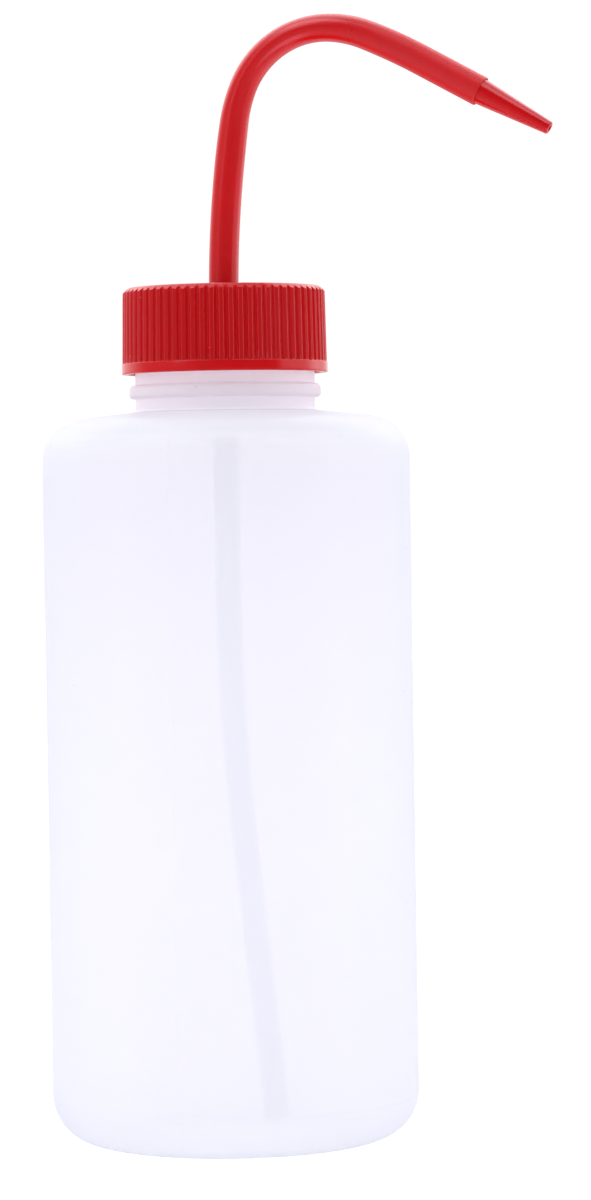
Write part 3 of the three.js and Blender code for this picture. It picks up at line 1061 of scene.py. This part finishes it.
def towards(tree, direction, azimuth, elevation=0.0):
    """The cosine of the angle between a direction socket and an azimuth and elevation."""
    level = math.cos(elevation)
    aim = (level * math.cos(azimuth), level * math.sin(azimuth), math.sin(elevation))
    return add_node(tree, "VectorMath", {0: direction, 1: aim}, operation="DOT_PRODUCT").outputs["Value"]


def glow(tree, facing, core, edge, strength):
    """A light patch: full strength within the core angle, nothing beyond the edge angle."""
    return remap(tree, facing, math.cos(edge), math.cos(core), 0.0, strength, "SMOOTHSTEP")


def brightening(tree, angle, light):
    """0 up to one angle, rising smoothly to a light's strength at another."""
    return remap(tree, angle, light["from"], light["to"], 0.0, light["strength"], "SMOOTHSTEP")


def mirrored_light(tree, direction):
    """What a shiny face mirrors in a direction."""
    ahead = towards(tree, direction, DARK_SIDE)
    rightwards = towards(tree, direction, DARK_SIDE + TURN / 4)
    angle = arithmetic(tree, "ARCTAN2", rightwards, ahead)
    leftwards = product(tree, angle, -1.0)
    right = brightening(tree, angle, RIGHT_BOX)
    left = brightening(tree, leftwards, LEFT_WALL)
    back = brightening(tree, arithmetic(tree, "ABSOLUTE", angle), BACK)
    light = arithmetic(tree, "MAXIMUM", arithmetic(tree, "MAXIMUM", right, left), back)
    light = total(tree, light, DARK)
    for *angles, strength in LAMPS:
        azimuth, elevation, core, edge = (angle * DEGREE for angle in angles)
        facing = towards(tree, direction, azimuth, elevation)
        light = total(tree, light, glow(tree, facing, core, edge, strength))
    return light


def light_the_world():
    """White for the camera, a soft tent with a dim side for dull faces, and a studio for shiny ones."""
    world = bpy.data.worlds.new("studio")
    world.use_nodes = True
    tree = world.node_tree
    tree.nodes.clear()
    direction = add_node(tree, "TexCoord").outputs["Generated"]
    facing = towards(tree, direction, DIM_SIDE)
    ray = add_node(tree, "LightPath").outputs
    soft = tent(tree, facing, *SOFT_LIGHT)
    mirrored = mirrored_light(tree, direction)
    light = add_node(tree, "Mix", {0: ray["Is Glossy Ray"], 2: soft, 3: mirrored}).outputs[0]
    light = add_node(tree, "Mix", {0: ray["Is Camera Ray"], 2: light, 3: BACKDROP}).outputs[0]
    background = add_node(tree, "Background", {"Color": (1.0, 1.0, 1.0, 1.0), "Strength": light})
    add_node(tree, "OutputWorld", {"Surface": background.outputs[0]})
    world.cycles.sampling_method = "NONE"  # light samples don't know a glossy ray from a diffuse one
    bpy.context.scene.world = world


def within(tree, distance, reach):
    """1 where a part of the table is full, falling to 0 inside and outside of it."""
    start, full, ending, out = (edge * MM for edge in reach)
    return product(tree, remap(tree, distance, start, full), remap(tree, distance, ending, out, 1.0, 0.0))


def mirrored_table(tree, place):
    """What a shiny face mirrors of the table: the studio's light, a glow all round and a bright patch."""
    outwards = add_node(tree, "VectorMath", {0: place}, operation="NORMALIZE").outputs[0]
    distance = add_node(tree, "VectorMath", {0: place}, operation="LENGTH").outputs["Value"]
    ahead = towards(tree, outwards, BRIGHT_TABLE["azimuth"])
    patch = glow(tree, ahead, BRIGHT_TABLE["core"], BRIGHT_TABLE["edge"], BRIGHT_TABLE["strength"])
    patch = product(tree, patch, within(tree, distance, TABLE_REACH))
    sky = product(tree, mirrored_light(tree, outwards), TABLE_SHARE)
    all_round = product(tree, within(tree, distance, TABLE_BEYOND), TABLE_GLOW)
    return total(tree, sky, all_round, patch)


def floor_material():
    material, tree = empty_material("pale_floor")
    place = object_place(tree)
    mottle = remap(tree, speckle(tree, place, 60.0), *NOISE_RANGE, *FLOOR_MOTTLE)
    glossy = add_node(tree, "LightPath").outputs["Is Glossy Ray"]
    white = add_node(tree, "Mix", {0: glossy, 2: mottle, 3: FLOOR_GLOSSY_WHITE}).outputs[0]
    lift = add_node(tree, "Mix", {0: glossy, 2: FLOOR_LIFT, 3: mirrored_table(tree, place)}).outputs[0]
    shader = add_node(
        tree,
        "BsdfPrincipled",
        {
            "Base Color": white,
            "Roughness": 0.9,
            "Emission Color": (1.0, 1.0, 1.0, 1.0),
            "Emission Strength": lift,
        },
    )
    show(tree, shader.outputs[0])
    return material


def lay_floor():
    mesh = bpy.data.meshes.new("floor")
    half = FLOOR_SIZE / 2
    corners = [(-half, -half, 0), (half, -half, 0), (half, half, 0), (-half, half, 0)]
    mesh.from_pydata(corners, [], [(0, 1, 2, 3)])
    mesh.materials.append(floor_material())
    floor = bpy.data.objects.new("floor", mesh)
    bpy.context.scene.collection.objects.link(floor)


build_pieces()
place_camera()
lay_floor()
light_the_world()
bpy.context.scene.view_settings.view_transform = "Standard"
